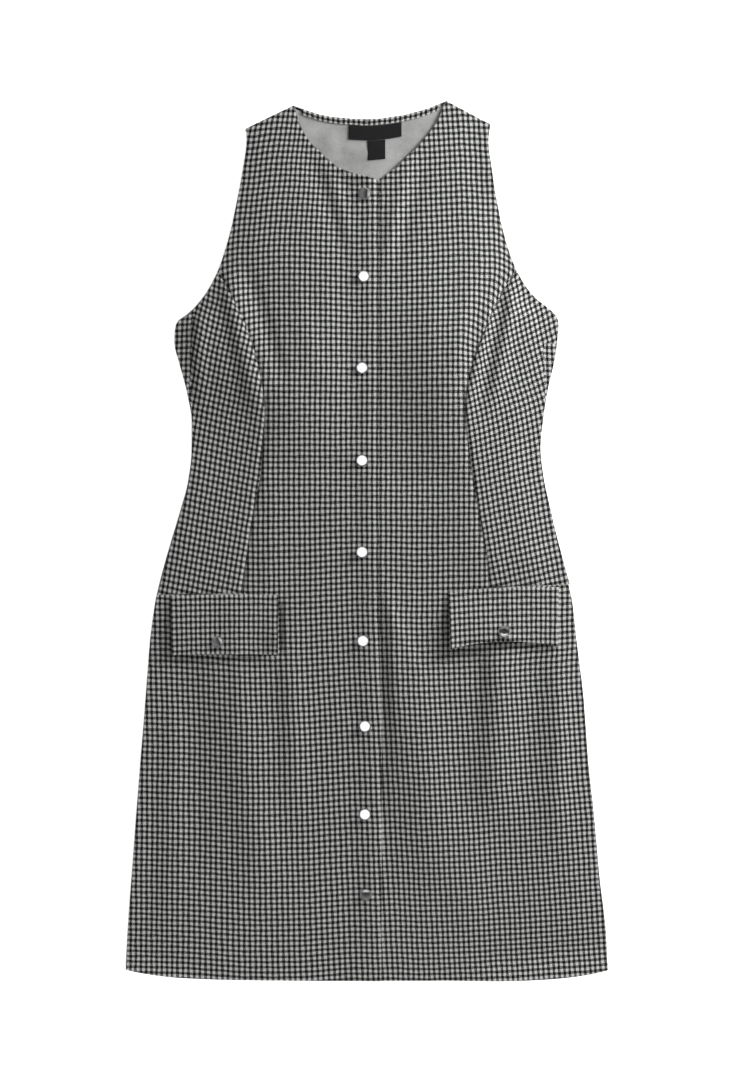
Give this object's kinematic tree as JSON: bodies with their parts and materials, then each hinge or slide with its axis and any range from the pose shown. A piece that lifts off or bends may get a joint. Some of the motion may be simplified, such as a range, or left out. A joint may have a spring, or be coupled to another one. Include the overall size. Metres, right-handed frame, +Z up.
{
  "type": "pinafore dress",
  "caption": "Sleeveless mini pinafore dress in small black and white check knit, laid flat: snap front placket, princess seams, snapped hip pocket flaps.",
  "frame": {"origin": "middle of the laid dress's bounding box, on the surface that the dress lies on", "axes": "+Y from the hem to the neck, +Z up out of the front, +X towards the wearer's left side"},
  "size_m": [0.476, 0.87, 0.0161],
  "materials": {
    "checked_knit": "matt double knit in a small black and white check, plain light grey on its reverse",
    "black_woven": "bare black woven tape",
    "polished_metal": "polished silver-coloured snap caps"
  },
  "bodies": {
    "root": {"back_panel": "checked_knit", "back_neck_turning": "checked_knit", "front_right_panel": "checked_knit", "front_left_panel": "checked_knit", "side_front_right": "checked_knit", "side_front_left": "checked_knit", "pocket_flap_right": "checked_knit", "pocket_flap_left": "checked_knit", "neck_label": "black_woven", "size_tab": "black_woven", "front_snap_1": "polished_metal", "front_snap_2": "polished_metal", "front_snap_3": "polished_metal", "front_snap_4": "polished_metal", "front_snap_5": "polished_metal", "front_snap_6": "polished_metal", "front_snap_7": "polished_metal", "front_snap_8": "polished_metal", "front_snap_9": "polished_metal", "flap_snap_right": "polished_metal", "flap_snap_left": "polished_metal"}
  },
  "joints": []
}
